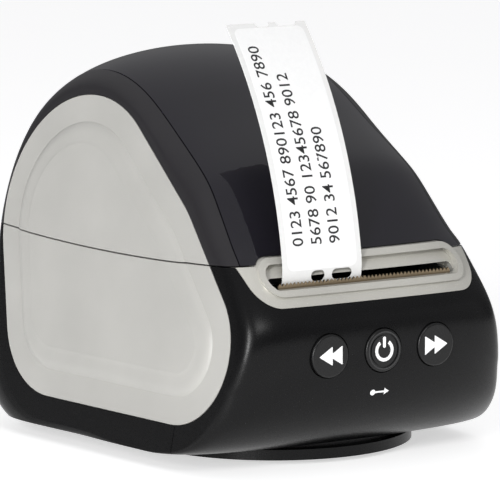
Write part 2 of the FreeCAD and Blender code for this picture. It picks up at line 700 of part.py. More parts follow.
def key_board():
    """Small upright board behind the buttons, with a switch for each."""
    y = front_y(0) - BUTTON_PROUD + KEY_BOARD_DEPTH
    board = box(-KEY_BOARD_HALF, KEY_BOARD_HALF, y, y + BOARD_T, KEY_BOARD_BOTTOM_Z, KEY_BOARD_TOP_Z)
    switches = []
    for slot in (-1, 0, 1):
        x = slot * BUTTON_PITCH
        reach = front_y(x) - BUTTON_PROUD + STEM_DEPTH + BUTTON_TRAVEL + SWITCH_REST_GAP
        body = box(x - 3, x + 3, y - SWITCH_HEIGHT, y, BUTTON_Z - 3, BUTTON_Z + 3)
        plunger = rod_y(STEM_R, reach, y - SWITCH_HEIGHT, x, BUTTON_Z)
        switches.append(body.fuse(plunger))
    return board, Part.makeCompound(switches)


# ================================================================ label web
def web_steps(run_end):
    steps = [("line", WEB_FEED_RUN, 0.0), ("arc", WEB_GUIDE_R, WEB_GUIDE_TURN),
             ("line", WEB_HEAD_RUN, 0.0), ("arc", WEB_EXIT_R, WEB_EXIT_TURN),
             ("arc", WEB_CURL_R, WEB_CURL_TURN)]
    return steps[:run_end]


def web_side(offset, run_end):
    """Edges and end points of the label path, moved off it towards its printed side."""
    y, z = WEB_START
    heading = 180.0
    edges = []
    ends = []

    def spot(cy, cz, angle):
        left = (-math.sin(math.radians(angle)), math.cos(math.radians(angle)))
        return V(0, cy + left[0] * offset, cz + left[1] * offset)

    ends.append(spot(y, z, heading))
    for kind, size, turn in web_steps(run_end):
        start = spot(y, z, heading)
        if kind == "line":
            y += size * math.cos(math.radians(heading))
            z += size * math.sin(math.radians(heading))
            edges.append(Part.LineSegment(start, spot(y, z, heading)).toShape())
        else:
            right = (math.sin(math.radians(heading)), -math.cos(math.radians(heading)))
            cy = y + size * right[0]
            cz = z + size * right[1]
            marks = []
            for share in (0.5, 1.0):
                angle = heading - turn * share
                right = (math.sin(math.radians(angle)), -math.cos(math.radians(angle)))
                marks.append((cy - size * right[0], cz - size * right[1], angle))
            middle = spot(*marks[0])
            y, z, heading = marks[1]
            edges.append(Part.Arc(start, middle, spot(y, z, heading)).toShape())
        ends.append(spot(y, z, heading))
    return edges, ends


def web_ribbon(near, far, x0, x1, run_end):
    """Strip that follows the label path between two offsets from it."""
    near_edges, near_ends = web_side(near, run_end)
    far_edges, far_ends = web_side(far, run_end)
    closing = [Part.LineSegment(near_ends[-1], far_ends[-1]).toShape(),
               Part.LineSegment(near_ends[0], far_ends[0]).toShape()]
    wire = Part.Wire(Part.sortEdges(near_edges + far_edges + closing)[0])
    ribbon = Part.Face(wire).extrude(V(x1 - x0, 0, 0))
    ribbon.translate(V(x0, 0, 0))
    return ribbon


def label_strip():
    """The strip out of the slot: punched with a pair of gap marks, and torn through another pair."""
    strip = web_ribbon(-WEB_THICKNESS / 2, WEB_THICKNESS / 2, WEB_LEFT, WEB_LEFT + WEB_WIDTH, 5)
    end = web_side(0.0, 5)[1][-1]
    low, high = MARK_Z
    heading = 180.0 - WEB_GUIDE_TURN - WEB_EXIT_TURN - WEB_CURL_TURN
    for x0, x1 in MARK_SPANS:
        middle = (x0 + x1) / 2
        punch = racetrack((x1 - x0) / 2, low, high, *FRONT_CUT)
        punch.translate(V(middle, 0, 0))
        strip = strip.cut(punch)
        radius = MARK_DEPTH
        notch = rod_z(radius, -4, 4, 0, 0)
        notch = fuse([notch.translated(V(x0 + radius, 0, 0)), notch.translated(V(x1 - radius, 0, 0)),
                      box(x0 + radius, x1 - radius, -radius, radius, -4, 4)])
        notch.rotate(V(0, 0, 0), V(1, 0, 0), heading)
        notch.translate(end)
        strip = strip.cut(notch)
    return strip


def nip_point():
    """Where the platen presses the label on the head, and the label's heading there."""
    ends = web_side(0.0, 2)[1]
    return ends[-1].y, ends[-1].z, 180.0 - WEB_GUIDE_TURN


def platen_centre():
    y, z, heading = nip_point()
    away = PLATEN_R + WEB_THICKNESS / 2 + PLATEN_NIP
    return (y + away * math.sin(math.radians(heading)), z - away * math.cos(math.radians(heading)))


# ================================================================ gears
def involute_point(base_r, radius, start):
    roll = math.sqrt(max(0.0, (radius / base_r) ** 2 - 1.0))
    angle = start + roll - math.atan(roll)
    return radius * math.cos(angle), radius * math.sin(angle)


def gear(teeth, centre, phase, bore_r):
    """Spur gear with involute flanks, a tooth centred at the phase angle."""
    pitch_r = GEAR_MODULE * teeth / 2
    base_r = pitch_r * math.cos(math.radians(PRESSURE_ANGLE))
    tip_r = pitch_r + 0.9 * GEAR_MODULE
    root_r = pitch_r - 1.25 * GEAR_MODULE
    roll = math.tan(math.radians(PRESSURE_ANGLE)) - math.radians(PRESSURE_ANGLE)
    half_tooth = math.pi / (2 * teeth) - BACKLASH / (2 * pitch_r)
    first_r = max(base_r, root_r)
    radii = [first_r + (tip_r - first_r) * step / 3 for step in range(4)]
    edges = []

    def turned(u, v, angle):
        y = u * math.cos(angle) - v * math.sin(angle)
        z = u * math.sin(angle) + v * math.cos(angle)
        return V(GEAR_X, centre[0] + y, centre[1] + z)

    def flank(angle, side):
        spots = []
        for radius in radii:
            u, v = involute_point(base_r, radius, -half_tooth - roll)
            spots.append(turned(u, side * v, angle))
        return spots

    step_angle = 2 * math.pi / teeth
    for i in range(teeth):
        angle = phase + i * step_angle
        rising = flank(angle, 1)
        falling = flank(angle, -1)
        following = flank(angle + step_angle, 1)
        foot = turned(root_r, 0, angle + step_angle / 2)
        if first_r > root_r:
            foot_x = root_r * math.cos(half_tooth + roll)
            foot_y = root_r * math.sin(half_tooth + roll)
            foot_rise = turned(foot_x, -foot_y, angle)
            foot_fall = turned(foot_x, foot_y, angle)
            edges.append(Part.LineSegment(foot_rise, rising[0]).toShape())
        curve = Part.BSplineCurve()
        curve.interpolate(Points=rising)
        edges.append(curve.toShape())
        edges.append(Part.LineSegment(rising[-1], falling[-1]).toShape())
        curve = Part.BSplineCurve()
        curve.interpolate(Points=falling[::-1])
        edges.append(curve.toShape())
        if first_r > root_r:
            edges.append(Part.LineSegment(falling[0], foot_fall).toShape())
            after = turned(root_r * math.cos(half_tooth + roll), -root_r * math.sin(half_tooth + roll),
                           angle + step_angle)
            edges.append(Part.Arc(foot_fall, foot, after).toShape())
        else:
            edges.append(Part.Arc(falling[0], foot, following[0]).toShape())
    blank = Part.Face(Part.Wire(edges)).extrude(V(GEAR_T, 0, 0))
    if root_r - GEAR_RIM > bore_r + GEAR_HUB:
        web = rod_x(root_r - GEAR_RIM, GEAR_X + GEAR_T - GEAR_RECESS, GEAR_X + GEAR_T + 1, *centre)
        hub = rod_x(bore_r + GEAR_HUB, GEAR_X, GEAR_X + GEAR_T + 2, *centre)
        blank = blank.cut(web.cut(hub))
    return blank.cut(rod_x(bore_r, GEAR_X - 1, GEAR_X + GEAR_T + 1, *centre))


def train():
    """Centres and phases of the four gears, each in mesh with the one before."""
    teeth = (PLATEN_TEETH, UPPER_IDLER_TEETH, LOWER_IDLER_TEETH, PINION_TEETH)
    centre = platen_centre()
    phase = 0.0
    places = [(centre, phase)]
    for i in range(3):
        angle = math.radians(LINK_ANGLES[i])
        reach = GEAR_MODULE * (teeth[i] + teeth[i + 1]) / 2
        centre = (centre[0] + reach * math.cos(angle), centre[1] + reach * math.sin(angle))
        phase = angle + math.pi + (math.pi - (phase - angle) * teeth[i]) / teeth[i + 1]
        places.append((centre, phase))
    return places


# ================================================================ feed mechanism
def frame_foot(side, pinion):
    """Middle of a side plate's foot."""
    return side * (FRAME_X - FRAME_FOOT / 2), pinion[0]


def frame_screw_places():
    pinion = train()[3][0]
    places = []
    for side in (-1, 1):
        x, y = frame_foot(side, pinion)
        places += [(x, y - FRAME_FOOT / 2), (x, y + FRAME_FOOT / 2)]
    return places


def side_frame_plate(x0, places):
    """Steel side plate that carries the platen, the idlers and the motor."""
    platen, upper, lower, pinion = [place[0] for place in places]
    circles = ((pinion[0] + 6.0, DECK_Z + 6.0, 6.0),
               (platen[0] + 4.0, platen[1], 8.0),
               (platen[0] - 3.0, platen[1], 7.0),
               (platen[0] + 1.0, DECK_Z + 14.0, 6.0),
               (platen[0] + 12.0, DECK_Z + 7.0, 6.0))
    face = outline_face(circles, lambda u, v: V(x0, u, v))
    plate = face.extrude(V(FRAME_T, 0, 0))
    inner = x0 if x0 > 0 else x0 + FRAME_T
    x, y = frame_foot(math.copysign(1.0, x0), pinion)
    foot = box(min(x - FRAME_FOOT / 2, inner), max(x + FRAME_FOOT / 2, inner), y - FRAME_FOOT, y + FRAME_FOOT,
               DECK_Z, DECK_Z + FRAME_T)
    plate = plate.fuse(foot)
    for shift in (-FRAME_FOOT / 2, FRAME_FOOT / 2):
        plate = plate.cut(rod_z(SCREW_R, DECK_Z - 1, DECK_Z + FRAME_T + 1, x, y + shift))
    return plate.cut(rod_x(BUSH_R + 0.02, x0 - 1, x0 + FRAME_T + 1, *platen))


def build_mechanism():
    places = train()
    platen, upper, lower, pinion = [place[0] for place in places]
    right = side_frame_plate(FRAME_X, places)
    left = side_frame_plate(-FRAME_X - FRAME_T, places)
    studs = []
    for centre in (upper, lower):
        studs.append(rod_x(STUD_R, FRAME_X, GEAR_X + GEAR_T + 0.8, *centre))
    right = right.fuse(studs)
    right = right.cut(rod_x(MOTOR_SHAFT_R + 1.4, FRAME_X - 1, FRAME_X + FRAME_T + 1, *pinion))
    save("mech_frame_right", right)
    save("mech_frame_left", left)
    save("frame_screws", Part.makeCompound([screw(x, y, DECK_Z + FRAME_T) for x, y in frame_screw_places()]))

    bushes = []
    for x0 in (-FRAME_X - FRAME_T - 0.3, FRAME_X - 0.3):
        bush = rod_x(BUSH_R, x0, x0 + FRAME_T + 0.6, *platen)
        bushes.append(bush.cut(rod_x(PLATEN_SHAFT_R + BUSH_RUNNING, x0 - 1, x0 + 5, *platen)))
    save("platen_bushes", Part.makeCompound(bushes))

    shaft = rod_x(PLATEN_SHAFT_R, -FRAME_X - 3.0, GEAR_X + GEAR_T + 1.0, *platen)
    rubber = rod_x(PLATEN_R, -PLATEN_HALF, PLATEN_HALF, *platen)
    rubber = rubber.cut(rod_x(PLATEN_SHAFT_R, -FAR, FAR, *platen))
    save("platen_shaft", shaft)
    save("platen_roller", rubber)
    save("platen_gear", gear(PLATEN_TEETH, platen, places[0][1], PLATEN_SHAFT_R))
    save("idler_gear_upper", gear(UPPER_IDLER_TEETH, upper, places[1][1], STUD_R + STUD_RUNNING))
    save("idler_gear_lower", gear(LOWER_IDLER_TEETH, lower, places[2][1], STUD_R + STUD_RUNNING))
    save("motor_pinion", gear(PINION_TEETH, pinion, places[3][1], MOTOR_SHAFT_R))
    save("motor_shaft", rod_x(MOTOR_SHAFT_R, FRAME_X - 6.0, GEAR_X + GEAR_T + 0.6, *pinion))

    motor = rod_x(MOTOR_R, FRAME_X - MOTOR_LENGTH, FRAME_X, *pinion)
    motor = motor.cut(rod_x(MOTOR_SHAFT_R + STUD_RUNNING, FRAME_X - 6.2, FRAME_X + 1, *pinion))
    save("stepper_motor", motor)

    head_parts()
    guide = web_ribbon(GUIDE_CLEARANCE, GUIDE_CLEARANCE + GUIDE_THICKNESS, -FRAME_X, FRAME_X, 2)
    guide = guide.cut(head_block(HEAD_WIDTH + 4.0, -3.0, 20.0, HEAD_LENGTH / 2 + 1.0))
    top = WEB_START[1] - GUIDE_CLEARANCE - GUIDE_THICKNESS
    y = SPOOL_Y - SENSOR_SETBACK
    guide = guide.cut(rod_z(SENSOR_EYE_R + 0.3, top - 1, top + 3, SENSOR_X, y))
    save("paper_guide", guide)
    sensor = box(SENSOR_X - 5.0, SENSOR_X + 5.0, y - 4.0, y + 4.0, top - 4.0, top)
    sensor = sensor.fuse(rod_z(SENSOR_EYE_R, top, top + GUIDE_THICKNESS, SENSOR_X, y))
    save("paper_sensor", sensor)


def head_block(width, near, far, half_length):
    """Block square to the label at the nip, from near to far on its printed side."""
    y, z, heading = nip_point()
    block = Part.makeBox(width, half_length * 2, far - near, V(-width / 2, -half_length, near))
    # The block's own +Y goes along the label and its +Z towards the printed side.
    block.rotate(V(0, 0, 0), V(1, 0, 0), heading)
    block.translate(V(0, y, z))
    return block


def head_parts():
    """Ceramic head on its heat sink, pressed to the platen by two springs in a bracket."""
    near = WEB_THICKNESS / 2 + HEAD_GAP
    save("print_head", head_block(HEAD_WIDTH, near, near + HEAD_CERAMIC_T, HEAD_LENGTH / 2))
    near += HEAD_CERAMIC_T
    save("head_heat_sink", head_block(HEAD_WIDTH, near, near + SINK_T, HEAD_LENGTH / 2))
    near += SINK_T
    springs = [head_spring(x, near) for x in (-SPRING_X, SPRING_X)]
    save("head_springs", Part.makeCompound(springs))
    near += SPRING_SPACE
    save("head_bracket", head_block(2 * FRAME_X, near, near + BRACKET_T, BRACKET_LENGTH / 2))


def head_spring(x, near):
    """Bowed leaf that fills the space between the heat sink and the bracket."""
    y, z, heading = nip_point()
    far = near + SPRING_SPACE
    inner = Part.Arc(V(x, -SPRING_HALF_LENGTH, far - SPRING_T), V(x, 0, near),
                     V(x, SPRING_HALF_LENGTH, far - SPRING_T))
    outer = Part.Arc(V(x, -SPRING_HALF_LENGTH, far), V(x, 0, near + SPRING_T), V(x, SPRING_HALF_LENGTH, far))
    near_tip = Part.LineSegment(inner.StartPoint, outer.StartPoint)
    far_tip = Part.LineSegment(inner.EndPoint, outer.EndPoint)
    tips = [near_tip, far_tip]
    wire = Part.Wire(Part.sortEdges([edge.toShape() for edge in [inner, outer] + tips])[0])
    leaf = Part.Face(wire).extrude(V(SPRING_WIDTH, 0, 0))
    leaf.rotate(V(0, 0, 0), V(1, 0, 0), heading)
    leaf.translate(V(-SPRING_WIDTH / 2, y, z))
    return leaf


# ================================================================ roll, spool, cradle
def build_spool():
    centre = (SPOOL_Y, SPOOL_Z)
    core = rod_x(CORE_R, WEB_LEFT, WEB_LEFT + WEB_WIDTH, *centre)
    core = core.cut(rod_x(CORE_BORE_R, -FAR, FAR, *centre))
    save("roll_core", core)
    roll = rod_x(ROLL_R, WEB_LEFT, WEB_LEFT + WEB_WIDTH, *centre)
    save("label_roll", roll.cut(rod_x(CORE_R, -FAR, FAR, *centre)))

    spindle = rod_x(AXLE_R, -AXLE_HALF, AXLE_HALF, *centre)
    tube = rod_x(TUBE_R, TUBE_LEFT, TUBE_RIGHT, *centre)
    save("spool_spindle", spindle.fuse(tube))
    flange = rod_x(FLANGE_R, TUBE_LEFT - FLANGE_T, TUBE_LEFT, *centre)
    save("spool_flange", flange.cut(rod_x(AXLE_R, -FAR, FAR, *centre)))

    face = WEB_LEFT + WEB_WIDTH + 0.3
    guide = rod_x(FLANGE_R, face, face + FLANGE_T, *centre)
    guide = guide.fuse(rod_x(TUBE_R + 2.5, face, face + GUIDE_HUB, *centre))
    guide = guide.cut(rod_x(TUBE_R + GUIDE_BORE_CLEARANCE, -FAR, FAR, *centre))
    save("spool_guide", guide)

    for name, x0 in (("roll_cradle_left", -CRADLE_INNER_X - CRADLE_T), ("roll_cradle_right", CRADLE_INNER_X)):
        back_foot = (SPOOL_Y + CRADLE_HALF_FOOT, DECK_Z + CRADLE_FOOT_R, CRADLE_FOOT_R)
        front_foot = (SPOOL_Y - CRADLE_HALF_FOOT, DECK_Z + CRADLE_FOOT_R, CRADLE_FOOT_R)
        circles = (back_foot, (SPOOL_Y, SPOOL_Z, CRADLE_HEAD_R), front_foot)
        cradle = outline_face(circles, lambda u, v, x=x0: V(x, u, v)).extrude(V(CRADLE_T, 0, 0))
        seat = AXLE_R + AXLE_RUNNING
        cradle = cradle.cut(rod_x(seat, x0 - 1, x0 + CRADLE_T + 1, *centre))
        mouth = box(x0 - 1, x0 + CRADLE_T + 1, SPOOL_Y - seat, SPOOL_Y + seat, SPOOL_Z, SPOOL_Z + 20)
        cradle = cradle.cut(mouth)
        save(name, cradle)


# ================================================================ electronics
def chip(x, y, z, width, length, height):
    """Flat moulded chip with a chamfered top."""
    body = box(x - width / 2, x + width / 2, y - length / 2, y + length / 2, z, z + height)
    rim = [edge for edge in body.Edges if min(v.Z for v in edge.Vertexes) > z + height / 2]
    return body.makeChamfer(height * 0.3, rim)


def header(x, y, z, ways):
    """Open-topped connector with a row of pins."""
    half = ways * PIN_PITCH / 2 + 1.0
    shell = box(x - half, x + half, y - 2.9, y + 2.9, z, z + HEADER_HEIGHT)
    shell = shell.cut(box(x - half + 0.7, x + half - 0.7, y - 2.2, y + 2.2, z + 1.0, z + HEADER_HEIGHT))
    pins = []
    for i in range(ways):
        pin_x = x + (i - (ways - 1) / 2) * PIN_PITCH
        pins.append(box(pin_x - 0.3, pin_x + 0.3, y - 0.3, y + 0.3, z + 0.5, z + HEADER_HEIGHT - 0.8))
    return shell.multiFuse(pins)


def board_components(front, z):
    """Processor, driver and memory chips, two capacitors and the cable headers."""
    parts = [chip(4.0, front + 26.0, z, 12.0, 12.0, 1.4),
             chip(-14.0, front + 22.0, z, 8.0, 10.0, 1.6),
             chip(20.0, front + 30.0, z, 6.0, 5.0, 1.5),
             header(-12.0, front + 5.0, z, 8),
             header(14.0, front + 5.0, z, 6)]
    for y in (front + 36.0, front + 46.0):
        can = rod_z(4.0, z, z + CAPACITOR_HEIGHT, -3.0, y)
        rim = [edge for edge in can.Edges if edge.CenterOfMass.z > z + CAPACITOR_HEIGHT - 0.1]
        parts.append(can.makeFillet(0.5, rim[:1]))
    return parts


def build_electronics():
    """Main board on its posts, with the two sockets that reach the back wall."""
    back = BAY_Y - BAY_WALL - SOCKET_FIT
    board = box(-BOARD_HALF, BOARD_HALF, back - BOARD_LENGTH, back, BOARD_Z, BOARD_Z + BOARD_T)
    for x, y in BOARD_POSTS:
        board = board.cut(rod_z(SCREW_R, BOARD_Z - 1, BOARD_Z + 5, x, y))
    save("main_board", board)
    top = BOARD_Z + BOARD_T
    save("board_screws", Part.makeCompound([screw(x, y, top) for x, y in BOARD_POSTS]))
    save("board_components", Part.makeCompound(board_components(back - BOARD_LENGTH, top)))
    top = SOCKET_Z + SOCKET_HALF_HEIGHT
    usb = box(USB_X - USB_HALF, USB_X + USB_HALF, BAY_Y - 16, BAY_Y - 0.2, BOARD_Z + BOARD_T, top)
    usb = usb.cut(box(USB_X - 4.2, USB_X + 4.2, BAY_Y - 9, BAY_Y + 2, SOCKET_Z - 3.9, SOCKET_Z + 3.9))
    usb = usb.fuse(box(USB_X - 2.8, USB_X + 2.8, BAY_Y - 9, BAY_Y - 1.5, SOCKET_Z - 1.6, SOCKET_Z + 1.6))
    save("usb_socket", usb)
    jack = box(POWER_X - POWER_HALF, POWER_X + POWER_HALF, BAY_Y - 14, BAY_Y - 0.2, BOARD_Z + BOARD_T, top)
    jack = jack.cut(rod_y(3.1, BAY_Y - 9, BAY_Y + 2, POWER_X, SOCKET_Z))
    jack = jack.fuse(rod_y(1.0, BAY_Y - 10, BAY_Y - 1.0, POWER_X, SOCKET_Z))
    save("power_jack", jack)


# ================================================================ build
def main():
    os.makedirs("parts", exist_ok=True)
    outer = form(0.0)
    inner = form(WALL)
    raised = form(-RING_PROUD)

    pan, pan_opening = base_pan()
    front, rear = lower_shells(outer, inner, pan_opening)
    frame, lid = cover_parts(outer, inner, raised)
    save("front_shell", front)
    save("rear_shell", rear)
    save("cover_frame", frame)
    save("cover_lid", lid)
    panel = side_panel()
    lower_panel = panel.common(below_seam(-SEAM_GAP / 2))
    upper_panel = panel.cut(below_seam(SEAM_GAP / 2))
    save("lower_panel_left", lower_panel)
    save("lower_panel_right", mirror_x(lower_panel))
    save("upper_panel_left", upper_panel)
    save("upper_panel_right", mirror_x(upper_panel))
    save("slot_bezel", slot_bezel(outer, inner, raised))
    save("tear_bar", tear_bar())
    save("hinge_pin", rod_x(HINGE_PIN_R, -35.5, 35.5, HINGE_Y, HINGE_Z))

    for name, slot in (("button_reverse", -1), ("button_power", 0), ("button_forward", 1)):
        save(name, button(slot))
    board, switches = key_board()
    save("key_board", board)
    save("key_switches", switches)

    build_mechanism()
    build_spool()
    build_electronics()
    save("base_pan", pan)
    save("rubber_feet", rubber_feet())
    save("label_strip", label_strip())


main()
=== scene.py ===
import logging
import math
from dataclasses import dataclass
from enum import Enum
from typing import Iterable, Sequence

import bmesh
import bpy
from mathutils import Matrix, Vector


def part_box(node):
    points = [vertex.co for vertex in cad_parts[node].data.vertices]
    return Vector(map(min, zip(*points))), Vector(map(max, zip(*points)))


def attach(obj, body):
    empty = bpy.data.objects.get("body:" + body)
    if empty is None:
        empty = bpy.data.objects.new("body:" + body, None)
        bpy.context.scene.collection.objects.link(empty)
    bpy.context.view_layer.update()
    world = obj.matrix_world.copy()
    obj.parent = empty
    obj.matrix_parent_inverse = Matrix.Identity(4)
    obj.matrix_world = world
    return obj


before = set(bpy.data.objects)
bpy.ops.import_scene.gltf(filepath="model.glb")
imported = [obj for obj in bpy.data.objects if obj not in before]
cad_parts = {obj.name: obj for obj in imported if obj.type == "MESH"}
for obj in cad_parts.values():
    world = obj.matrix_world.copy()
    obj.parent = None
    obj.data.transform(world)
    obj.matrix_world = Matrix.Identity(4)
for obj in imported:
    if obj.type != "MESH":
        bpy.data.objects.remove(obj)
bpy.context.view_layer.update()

logging.basicConfig(level=logging.INFO, format="%(message)s")
LOG = logging.getLogger("label_printer")

MM = 0.001

Colour = tuple[float, float, float]


# ------------------------------------------------------------------ shader helpers
class Shader:
    """One material's node tree, with short calls for the nodes that the finishes use."""

    def __init__(self, name: str, colour: Colour, roughness: float, metallic: float = 0.0) -> None:
        """Start a material with a principled shader.

        Args:
            name: Name of the material.
            colour: Base colour, linear.
            roughness: Base roughness.
            metallic: 1 for bare metal.
        """
        self.material = bpy.data.materials.new(name)
        self.material.use_nodes = True
        self.tree = self.material.node_tree
        self.shader = self.tree.nodes["Principled BSDF"]
        self.set("Base Color", (*colour, 1.0))
        self.set("Roughness", roughness)
        self.set("Metallic", metallic)
        self.coordinates = self.node("ShaderNodeTexCoord")

    def set(self, socket: str, value: object) -> None:
        """Set a constant on the principled shader's own socket."""
        self.shader.inputs[socket].default_value = value

    def node(self, kind: str, **values: object) -> bpy.types.Node:
        """Add a node and set its properties and unlinked inputs.

        Args:
            kind: Node type.
            values: Property names, or input names with spaces written as underscores.

        Returns:
            The new node.
        """
        node = self.tree.nodes.new(kind)
        for key, value in values.items():
            if hasattr(node, key):
                setattr(node, key, value)
            else:
                node.inputs[key.replace("_", " ")].default_value = value
        return node

    def link(self, source: bpy.types.NodeSocket, target: bpy.types.NodeSocket) -> None:
        """Join an output to an input."""
        self.tree.links.new(source, target)

    def place(self, centre: Sequence[float] = (0, 0, 0),
              scale: Sequence[float] = (1, 1, 1)) -> bpy.types.NodeSocket:
        """Object coordinates about a centre, stretched by a scale.

        Args:
            centre: Point that becomes the pattern's origin, in metres.
            scale: Stretch along each axis.

        Returns:
            The vector socket.
        """
        mapping = self.node("ShaderNodeMapping")
        mapping.inputs["Scale"].default_value = scale
        mapping.inputs["Location"].default_value = [-c * s for c, s in zip(centre, scale)]
        self.link(self.coordinates.outputs["Object"], mapping.inputs["Vector"])
        return mapping.outputs["Vector"]

    def noise(self, scale: float, detail: float = 2.0,
              vector: bpy.types.NodeSocket | None = None) -> bpy.types.NodeSocket:
        """Noise over the object's own coordinates.

        Args:
            scale: Noise scale, per metre.
            detail: Octaves.
            vector: Coordinates to use in place of the object's.

        Returns:
            The factor socket.
        """
        noise = self.node("ShaderNodeTexNoise")
        noise.inputs["Scale"].default_value = scale
        noise.inputs["Detail"].default_value = detail
        self.link(vector or self.coordinates.outputs["Object"], noise.inputs["Vector"])
        return noise.outputs["Fac"]

    def ramp(self, factor: bpy.types.NodeSocket,
             stops: Sequence[tuple[float, Colour]]) -> bpy.types.NodeSocket:
        """Colour ramp over a factor.

        Args:
            factor: The socket read.
            stops: Positions and colours.

        Returns:
            The colour socket.
        """
        ramp = self.node("ShaderNodeValToRGB")
        elements = ramp.color_ramp.elements
        while len(elements) < len(stops):
            elements.new(0.5)
        for element, (position, colour) in zip(elements, stops):
            element.position = position
            element.color = (*colour, 1.0)
        self.link(factor, ramp.inputs["Fac"])
        return ramp.outputs["Color"]

    def range(self, factor: bpy.types.NodeSocket, low: float, high: float,
              start: float = 0.0, stop: float = 1.0) -> bpy.types.NodeSocket:
        """Map a factor onto a range of values.

        Args:
            factor: The socket read.
            low: Value at the start.
            high: Value at the stop.
            start: Factor where the range starts.
            stop: Factor where the range stops.

        Returns:
            The result socket.
        """
        node = self.node("ShaderNodeMapRange")
        for name, value in (("From Min", start), ("From Max", stop), ("To Min", low), ("To Max", high)):
            node.inputs[name].default_value = value
        self.link(factor, node.inputs["Value"])
        return node.outputs["Result"]

    def maths(self, operation: str, first: bpy.types.NodeSocket,
              second: bpy.types.NodeSocket | float) -> bpy.types.NodeSocket:
        """One maths node.

        Args:
            operation: Blender's name of the operation.
            first: First input.
            second: Second input, a socket or a number.

        Returns:
            The value socket.
        """
        node = self.node("ShaderNodeMath", operation=operation)
        self.link(first, node.inputs[0])
        if isinstance(second, (int, float)):
            node.inputs[1].default_value = second
        else:
            self.link(second, node.inputs[1])
        return node.outputs["Value"]

    def bump(self, height: bpy.types.NodeSocket, depth: float, strength: float = 1.0) -> None:
        """Drive the shader's normal from a height.

        Args:
            height: The height socket, 0 to 1.
            depth: Height of the relief in metres.
            strength: How far the bump counts.
        """
        bump = self.node("ShaderNodeBump")
        bump.inputs["Strength"].default_value = strength
        bump.inputs["Distance"].default_value = depth
        if self.shader.inputs["Normal"].links:
            self.link(self.shader.inputs["Normal"].links[0].from_socket, bump.inputs["Normal"])
        self.link(height, bump.inputs["Height"])
        self.link(bump.outputs["Normal"], self.shader.inputs["Normal"])


class Finish:
    """Base of all finishes: builds its material once and puts it on objects."""

    _made: dict["Finish", bpy.types.Material] = {}

    def build(self) -> bpy.types.Material:
        """Make the material."""
        raise NotImplementedError

    def material(self) -> bpy.types.Material:
        """The finish's material, made at its first use."""
        if self not in Finish._made:
            Finish._made[self] = self.build()
        return Finish._made[self]

    def dress(self, obj: bpy.types.Object) -> None:
        """Put the finish on every material slot of an object.

        Args:
            obj: A CAD node or a new piece.
        """
        if not obj.material_slots:
            obj.data.materials.append(self.material())
        for place in obj.material_slots:
            place.material = self.material()


@dataclass(frozen=True)
class GlossPlastic(Finish):
    """Polished moulding: deep colour, slow waviness, faint dust of fine scratches."""

    name: str
    colour: Colour
    roughness: float = 0.07
    coat: float = 0.25
    specular: float = 0.4

    def build(self) -> bpy.types.Material:
        """Make the material."""
        s = Shader(self.name, self.colour, self.roughness)
        s.set("Coat Weight", self.coat)
        s.set("Coat Roughness", 0.03)
        s.set("Specular IOR Level", self.specular)
        haze = s.noise(38.0, 3.0)
        s.link(s.range(haze, self.roughness * 0.7, self.roughness * 1.6), s.shader.inputs["Roughness"])
        s.bump(s.noise(55.0, 1.0), 0.00004, 0.25)
        return s.material


@dataclass(frozen=True)
class TexturedPlastic(Finish):
    """Spark-textured moulding: fine even grain in the surface, its gloss broken by it."""

    name: str
    colour: Colour
    roughness: float = 0.42
    grain: float = 0.00003
    grain_scale: float = 2600.0
    specular: float = 0.5
    metallic: float = 0.0

    def build(self) -> bpy.types.Material:
        """Make the material."""
        s = Shader(self.name, self.colour, self.roughness, self.metallic)
        s.set("Specular IOR Level", self.specular)
        grain = s.noise(self.grain_scale, 2.0)
        cloud = s.noise(24.0, 3.0)
        deep = tuple(c * 0.93 for c in self.colour)
        light = tuple(min(1.0, c * 1.06) for c in self.colour)
        s.link(s.ramp(cloud, ((0.3, deep), (0.7, light))), s.shader.inputs["Base Color"])
        s.link(s.range(grain, self.roughness - 0.05, self.roughness + 0.07), s.shader.inputs["Roughness"])
        s.bump(grain, self.grain, 0.6)
        return s.material


@dataclass(frozen=True)
class RibbedRubber(Finish):
    """Soft black rubber with a dull bloom."""

    name: str
    colour: Colour = (0.022, 0.022, 0.022)
    roughness: float = 0.7

    def build(self) -> bpy.types.Material:
        """Make the material."""
        s = Shader(self.name, self.colour, self.roughness)
        bloom = s.noise(90.0, 4.0)
        s.link(s.ramp(bloom, ((0.35, self.colour), (0.75, tuple(c * 1.7 for c in self.colour)))),
               s.shader.inputs["Base Color"])
        s.bump(s.noise(1500.0, 2.0), 0.00004, 0.5)
        return s.material


@dataclass(frozen=True)
class BrushedMetal(Finish):
    """Bare metal with a brushed or rolled grain along one axis."""

    name: str
    colour: Colour
    roughness: float = 0.3
    along: tuple[float, float, float] = (20.0, 900.0, 900.0)

    def build(self) -> bpy.types.Material:
        """Make the material."""
        s = Shader(self.name, self.colour, self.roughness, 1.0)
        streak = s.noise(1.0, 3.0, s.place(scale=self.along))
        s.link(s.range(streak, self.roughness - 0.08, self.roughness + 0.12), s.shader.inputs["Roughness"])
        dull = tuple(c * 0.82 for c in self.colour)
        s.link(s.ramp(streak, ((0.25, dull), (0.75, self.colour))), s.shader.inputs["Base Color"])
        s.bump(streak, 0.00001, 0.4)
        return s.material


@dataclass(frozen=True)
class ThermalPaper(Finish):
    """Smooth coated paper: bright, faintly fibrous, with a soft sheen."""

    name: str
    colour: Colour
    roughness: float = 0.55

    def build(self) -> bpy.types.Material:
        """Make the material."""
        s = Shader(self.name, self.colour, self.roughness)
        fibre = s.noise(700.0, 4.0)
        shade = tuple(c * 0.97 for c in self.colour)
        s.link(s.ramp(fibre, ((0.3, shade), (0.7, self.colour))), s.shader.inputs["Base Color"])
        s.bump(fibre, 0.00001, 0.3)
        return s.material


